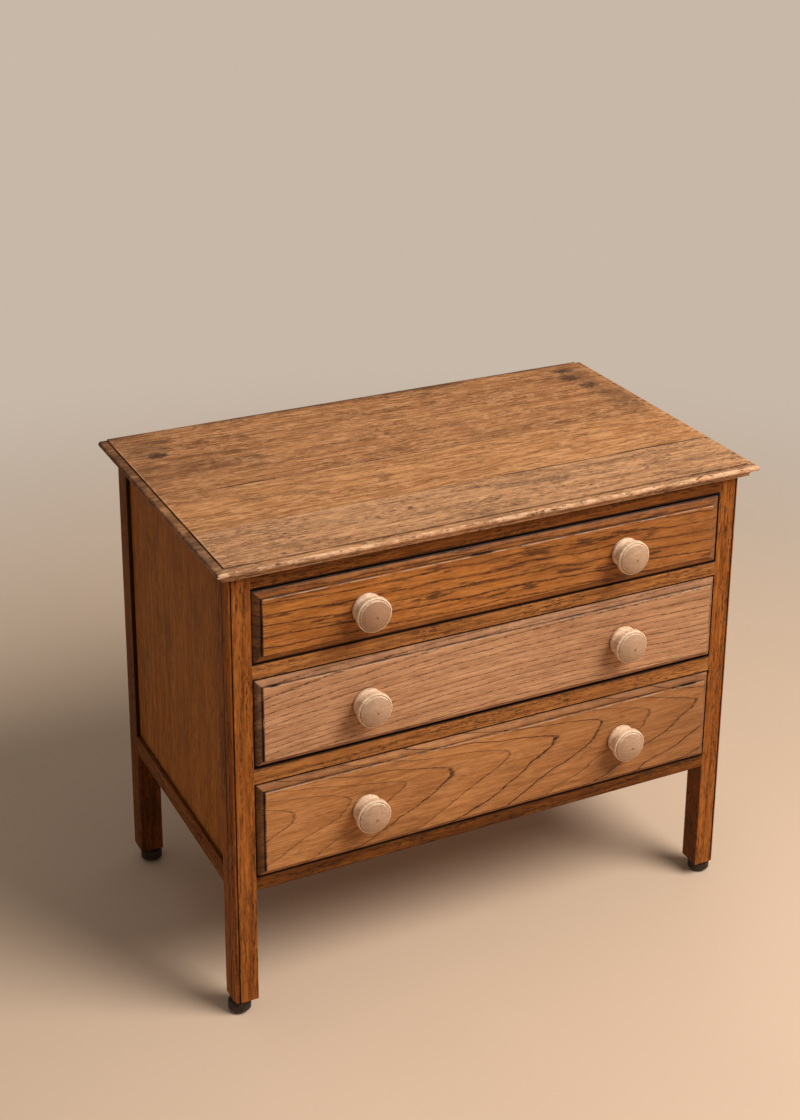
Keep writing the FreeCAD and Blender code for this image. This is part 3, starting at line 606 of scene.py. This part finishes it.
def turned_wood(name, node, seed):
    """Bare pale wood, turned about the knob's own axis, with short brown flecks."""
    g = Graph(name)
    low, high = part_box(node)
    middle = (low + high) / 2
    place = g.stretch(g.place(), (1, 1, 1), (-middle.x, -low.y, -middle.z))
    x, y, z = g.split(place)
    spread = g.math("SQRT", g.add(g.times(x, x), g.times(z, z)))
    fleck = g.step(g.noise(place, (190, 300, 560), seed, 2.0), 0.56, 0.66)
    dot = g.step(g.noise(place, (700, 420, 700), seed + 4, 1.0), 0.56, 0.68)
    fibre = g.noise(place, (110, 60, 420), seed + 8, 4.0, 0.65)
    cloud = g.noise(place, (50, 50, 70), seed + 12, 3.0)
    colour = g.mix(g.step(fibre, 0.34, 0.66), srgb(220, 182, 146), srgb(244, 214, 182))
    colour = g.mix(g.times(g.step(cloud, 0.5, 0.72), 0.16), colour, srgb(184, 140, 104))
    colour = g.mix(g.times(fleck, 0.26), colour, srgb(154, 112, 78))
    colour = g.mix(g.times(dot, 0.24), colour, srgb(144, 102, 72))
    tool = g.math("SINE", g.times(g.add(spread, y), KNOB_TURNING))
    colour = g.mix(g.times(g.step(tool, 0.2, 1.0), 0.08), colour, srgb(150, 106, 76))
    face = g.times(
        g.step(spread, KNOB_FACE_RADIUS, KNOB_FACE_RADIUS - 0.0008),
        g.step(y, KNOB_FACE_DEPTH, KNOB_FACE_DEPTH - 0.0014),
    )
    rings = g.add(0.95, g.times(g.math("SINE", g.times(spread, KNOB_RINGS)), 0.05))
    # the face of this one knob is much darker than the others
    face_darkening = 0.94 if node == "top_drawer_left_knob" else 0.70
    colour = g.mix(g.times(face, rings, face_darkening), colour, srgb(150, 106, 74))
    # painted highlight: the knob's edges and rims pale
    colour = g.mix(g.times(g.step(g.arris(0.0016), 0.2, 0.5), 0.5), colour, srgb(246, 218, 192))
    colour = g.mix(g.times(g.step(spread, 0.0026, 0.0012), 0.75), colour, srgb(96, 62, 42))
    # dirt and painted shade in the knob's creases and groove
    colour = g.mix(g.times(g.step(g.crevice(0.004), 0.3, 0.85), 0.7), colour, srgb(118, 76, 48))
    relief = g.add(g.times(tool, 0.12), g.add(g.times(fleck, -0.6), g.times(fibre, 0.2)))
    normal = g.bump(relief, 0.0003, g.rounded(0.0006))
    return g.finish(g.surface(colour, 0.62, normal, specular=0.3))


# Metal


def iron(name, seed, dark, rust):
    """Old iron, dull, browned in patches and rubbed on its edges."""
    g = Graph(name)
    place = g.place()
    patch = g.noise(place, (160, 160, 160), seed, 4.0, 0.6)
    speck = g.noise(place, (900, 900, 900), seed + 5, 2.0)
    colour = g.mix(g.step(patch, 0.4, 0.66), dark, rust)
    colour = g.mix(g.times(g.step(speck, 0.52, 0.7), 0.5), colour, srgb(24, 18, 15))
    colour = g.mix(g.times(g.step(g.arris(0.0012), 0.2, 0.6), 0.4), colour, srgb(118, 98, 84))
    roughness = g.add(0.5, g.centred(patch, 0.2))
    relief = g.add(patch, g.times(speck, 0.4))
    normal = g.bump(relief, 0.0003, g.rounded(0.0005))
    return g.finish(g.surface(colour, roughness, normal, metallic=0.3))


def steel(name, seed):
    """Plain steel with fine scratches and a little rust."""
    g = Graph(name)
    place = g.place()
    scratch = g.noise(place, (400, 2500, 400), seed, 3.0)
    colour = g.mix(g.step(scratch, 0.3, 0.7), srgb(112, 108, 102), srgb(160, 156, 150))
    rust = g.step(g.noise(place, (300, 300, 300), seed + 2, 3.0), 0.56, 0.68)
    colour = g.mix(g.times(rust, 0.6), colour, srgb(96, 62, 40))
    roughness = g.add(0.3, g.times(rust, 0.4))
    return g.finish(g.surface(colour, roughness, g.rounded(0.0003), metallic=0.8))


# Dressing the CAD nodes


def dress(node, material):
    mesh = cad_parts[node].data
    mesh.materials.clear()
    mesh.materials.append(material)


# look, grain, marks and cut of the boards that show most
BOARDS = {
    "top_board_front": ("top_front", "xyz", front_board_marks, dict(
        STRAIGHT, heart=(0.02, -0.09), ring=0.0068, thick=0.0018, taper=0.015, sway=0.008, warp=0.003,
    )),
    "top_board_middle": ("top_middle", "xyz", top_marks, dict(
        STRAIGHT, heart=(0.010, -0.050), ring=0.0090, thick=0.0022, taper=0.050, sway=0.016, warp=0.010,
    )),
    "top_board_back": ("top_back", "xyz", top_marks, dict(
        STRAIGHT, heart=(-0.04, -0.10), ring=0.0080, thick=0.0016, taper=0.020, sway=0.012, warp=0.003,
    )),
    "top_drawer_front": ("orange", "xzy", drawer_marks("top_drawer_front"), dict(
        STRAIGHT, heart=(-0.110, 0.030), ring=0.0160, thick=0.0030, taper=0.026, row=0.0030,
        sway=0.018, warp=0.006,
    )),
    "middle_drawer_front": ("pale", "xzy", drawer_marks("middle_drawer_front"), dict(
        STRAIGHT, heart=(0.085, 0.040), ring=0.0078, thick=0.0017, taper=0.030, bend=0.12, row=0.0015,
        sway=0.008, warp=0.0016,
    )),
    "bottom_drawer_front": ("flame", "xzy", drawer_marks("bottom_drawer_front"), dict(
        STRAIGHT, heart=(0.028, 0.018), ring=0.0350, thick=0.0032, taper=0.400, skew=2.5, lean=0.020,
        row=0.0032, sway=0.018, warp=0.010,
    )),
}

# marks on the other wooden nodes
MARKS = {
    "top_front_rail": rail_marks("top_front_rail", 0.0002, 0.0030),
    "upper_drawer_rail": rail_marks("upper_drawer_rail", 0.0012, 0.0006),
    "lower_drawer_rail": rail_marks("lower_drawer_rail", 0.0026, 0.0006),
    "bottom_front_rail": rail_marks("bottom_front_rail", 0.0030, 0.0010, 0.28),
    "front_left_leg": bead_marks("front_left_leg"),
    "front_right_leg": bead_marks("front_right_leg"),
    "rear_left_leg": rear_leg_marks("rear_left_leg"),
    "rear_right_leg": rear_leg_marks("rear_right_leg"),
}

# look and grain of the other wooden nodes, by the ends of their names
WOODEN = (
    ("rear_left_leg", "rear", "zxy"),
    ("rear_right_leg", "rear", "zxy"),
    ("_leg", "case", "zxy"),
    ("_side_panel", "panel", "zyx"),
    ("upper_side_rail", "inner", "yzx"),
    ("_side_rail", "shaded_rail", "yzx"),
    ("_front_rail", "shaded_rail", "xzy"),
    ("_drawer_rail", "rail", "xzy"),
    ("_back_rail", "inner", "xzy"),
    ("back_panel", "inner", "zxy"),
    ("_runner_left", "inner", "yxz"),
    ("_runner_right", "inner", "yxz"),
    ("drawer_stops", "inner", "xyz"),
    ("_left_side", "lining", "yzx"),
    ("_right_side", "lining", "yzx"),
    ("_drawer_back", "lining", "xzy"),
    ("_drawer_bottom", "lining", "xyz"),
)

seeds = random.Random(17)

for node in sorted(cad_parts):
    seed = seeds.uniform(0, 90)
    if node in BOARDS:
        look, grain, marks, cut = BOARDS[node]
        dress(node, oak(node, node, look, grain, seed, cut, marks))
    elif node.endswith("_knob"):
        dress(node, turned_wood(node, node, seed))
    elif node.endswith("_horn") or node == "castor_sockets":
        dress(node, iron(node, seed, srgb(32, 24, 19), srgb(70, 44, 29)))
    elif node.endswith("_wheel"):
        dress(node, iron(node, seed, srgb(58, 47, 40), srgb(92, 76, 64)))
    elif node == "top_screws":
        dress(node, steel(node, seed))
    else:
        look, grain = next((look, grain) for end, look, grain in WOODEN if node.endswith(end))
        across, into = STRAIGHT["heart"]
        cut = dict(STRAIGHT, heart=(across + seeds.uniform(-0.02, 0.02), into))
        dress(node, oak(node, node, look, grain, seed, cut, MARKS.get(node)))


# Small fasteners

NAIL_RADIUS = 0.0026
NAIL_HEAD = 0.0008
NAIL_INSET = 0.006
NAILS_ACROSS = 8
NAILS_UP = 6
# from the panel's lower and upper edge to the nails in the two back rails
NAIL_ABOVE_FOOT = 0.015
NAIL_BELOW_HEAD = 0.013
PLATE_SCREW_RADIUS = 0.0015
PLATE_SCREW_OFFSET = 0.0153
PLATE_SCREW_HEAD = 0.0003


def heads(name, places, axis, radius, height, material):
    """One piece of round fastener heads that stand on a surface and face along the axis."""
    mesh = bpy.data.meshes.new(name)
    shape = bmesh.new()
    turn = Vector(axis).to_track_quat("Z", "Y").to_matrix().to_4x4()
    for place in places:
        middle = Vector(place) + Vector(axis) * height / 2
        bmesh.ops.create_cone(
            shape, cap_ends=True, segments=16, radius1=radius, radius2=radius * 0.8, depth=height,
            matrix=Matrix.Translation(middle) @ turn,
        )
    shape.to_mesh(mesh)
    shape.free()
    mesh.materials.append(material)
    piece = bpy.data.objects.new(name, mesh)
    bpy.context.collection.objects.link(piece)
    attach(piece, "case")


def back_nails():
    """Nails through the back panel: a row into each back rail and each rear leg."""
    left = PANEL_LOW.x + NAIL_INSET
    right = PANEL_HIGH.x - NAIL_INSET
    foot = PANEL_LOW.z + NAIL_ABOVE_FOOT
    head = PANEL_HIGH.z - NAIL_BELOW_HEAD
    across = [left + (right - left) * i / (NAILS_ACROSS - 1) for i in range(NAILS_ACROSS)]
    upright = [foot + (head - foot) * i / (NAILS_UP - 1) for i in range(1, NAILS_UP - 1)]
    places = [(x, PANEL_HIGH.y, z) for x in across for z in (foot, head)]
    return places + [(x, PANEL_HIGH.y, z) for x in (left, right) for z in upright]


def plate_screws():
    """Three screws in the rim of each castor plate."""
    plate_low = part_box("castor_sockets")[0].z
    places = []
    for corner in ("front_left", "front_right", "rear_left", "rear_right"):
        low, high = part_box("%s_leg" % corner)
        for third in range(3):
            angle = math.radians(90 + 120 * third)
            x = (low.x + high.x) / 2 + PLATE_SCREW_OFFSET * math.cos(angle)
            y = (low.y + high.y) / 2 + PLATE_SCREW_OFFSET * math.sin(angle)
            places.append((x, y, plate_low))
    return places


old_iron = iron("fastener_iron", 3.0, srgb(52, 42, 36), srgb(86, 58, 40))
heads("back_nails", back_nails(), (0, 1, 0), NAIL_RADIUS, NAIL_HEAD, old_iron)
heads("castor_plate_screws", plate_screws(), (0, 0, -1), PLATE_SCREW_RADIUS, PLATE_SCREW_HEAD, old_iron)


# Floor, light and camera

BACKGROUND = srgb(200, 184, 168)
FLOOR_REACH = 40.0
# distances from the part over which the camera sees the floor fade
FADE_START = 0.8
FADE_END = 2.6
SURROUND_COLOUR = (1.0, 0.94, 0.87, 1.0)
SURROUND_STRENGTH = 0.20
CAMERA_PLACE = (-1.2450, -2.4233, 1.8731)
# in degrees: about the vertical, up from straight down, about the line of sight
CAMERA_TURN = -26.10
CAMERA_TILT = 71.23
CAMERA_ROLL = 0.34
CAMERA_LENS = 60.13
CAMERA_SHIFT = (0.00396, -0.2005)


def floor():
    """A plain pale floor that fades, for the camera alone, into the colour behind it.

    From below the camera sees through it.
    """
    mesh = bpy.data.meshes.new("floor")
    corners = [(x * FLOOR_REACH, y * FLOOR_REACH, 0) for x, y in ((-1, -1), (1, -1), (1, 1), (-1, 1))]
    mesh.from_pydata(corners, [], [(0, 1, 2, 3)])
    plane = bpy.data.objects.new("floor", mesh)
    bpy.context.collection.objects.link(plane)
    g = Graph("floor")
    place = g.place()
    cloud = g.noise(place, (1.2, 1.2, 1.2), 4.0, 3.0)
    near = g.surface(g.mix(g.step(cloud, 0.3, 0.7), srgb(218, 190, 163), srgb(224, 195, 168)), 0.85)
    plain = g.node("ShaderNodeEmission")
    plain.inputs["Color"].default_value = BACKGROUND
    x, y, _ = g.split(place)
    reach = g.math("SQRT", g.add(g.times(x, x), g.times(y, y)))
    seen = g.node("ShaderNodeLightPath").outputs["Is Camera Ray"]
    fade = g.node("ShaderNodeMixShader")
    g.feed(fade.inputs[0], g.times(g.step(reach, FADE_START, FADE_END), seen))
    g.feed(fade.inputs[1], near)
    g.feed(fade.inputs[2], plain.outputs[0])
    below = g.node("ShaderNodeNewGeometry").outputs["Backfacing"]
    through = g.node("ShaderNodeMixShader")
    g.feed(through.inputs[0], g.times(below, seen))
    g.feed(through.inputs[1], fade.outputs[0])
    g.feed(through.inputs[2], g.node("ShaderNodeBsdfTransparent").outputs[0])
    mesh.materials.append(g.finish(through.outputs[0]))


def lamp(name, place, target, size, power, colour):
    """A round soft lamp that points at the target."""
    data = bpy.data.lights.new(name, "AREA")
    data.shape = "DISK"
    data.size = size
    data.energy = power
    data.color = colour
    made = bpy.data.objects.new(name, data)
    made.location = place
    made.rotation_euler = (Vector(target) - Vector(place)).to_track_quat("-Z", "Y").to_euler()
    bpy.context.collection.objects.link(made)


def surroundings():
    """A dim warm surround that the camera alone sees as a pale backdrop."""
    world = bpy.data.worlds.new("studio")
    bpy.context.scene.world = world
    world.use_nodes = True
    tree = world.node_tree
    tree.nodes.clear()
    seen = tree.nodes.new("ShaderNodeBackground")
    seen.inputs["Color"].default_value = BACKGROUND
    light = tree.nodes.new("ShaderNodeBackground")
    light.inputs["Color"].default_value = SURROUND_COLOUR
    light.inputs["Strength"].default_value = SURROUND_STRENGTH
    path = tree.nodes.new("ShaderNodeLightPath")
    mix = tree.nodes.new("ShaderNodeMixShader")
    end = tree.nodes.new("ShaderNodeOutputWorld")
    tree.links.new(path.outputs["Is Camera Ray"], mix.inputs[0])
    tree.links.new(light.outputs[0], mix.inputs[1])
    tree.links.new(seen.outputs[0], mix.inputs[2])
    tree.links.new(mix.outputs[0], end.inputs[0])


def camera():
    """The camera that fits the photo's own perspective."""
    data = bpy.data.cameras.new("camera")
    data.lens = CAMERA_LENS
    data.shift_x, data.shift_y = CAMERA_SHIFT
    made = bpy.data.objects.new("camera", data)
    turn = Matrix.Rotation(math.radians(CAMERA_TURN), 4, "Z")
    tilt = Matrix.Rotation(math.radians(CAMERA_TILT), 4, "X")
    roll = Matrix.Rotation(math.radians(CAMERA_ROLL), 4, "Z")
    made.matrix_world = Matrix.Translation(CAMERA_PLACE) @ turn @ tilt @ roll
    bpy.context.collection.objects.link(made)
    bpy.context.scene.camera = made


floor()
lamp("key", (1.6, -2.2, 3.3), (0.0, -0.1, 0.4), 2.3, 174.0, (1.0, 0.965, 0.92))
lamp("sky", (-0.3, 0.2, 3.4), (0.0, 0.0, 0.5), 3.0, 10.0, (1.0, 0.98, 0.95))
surroundings()
camera()
bpy.context.scene.view_settings.view_transform = "Standard"
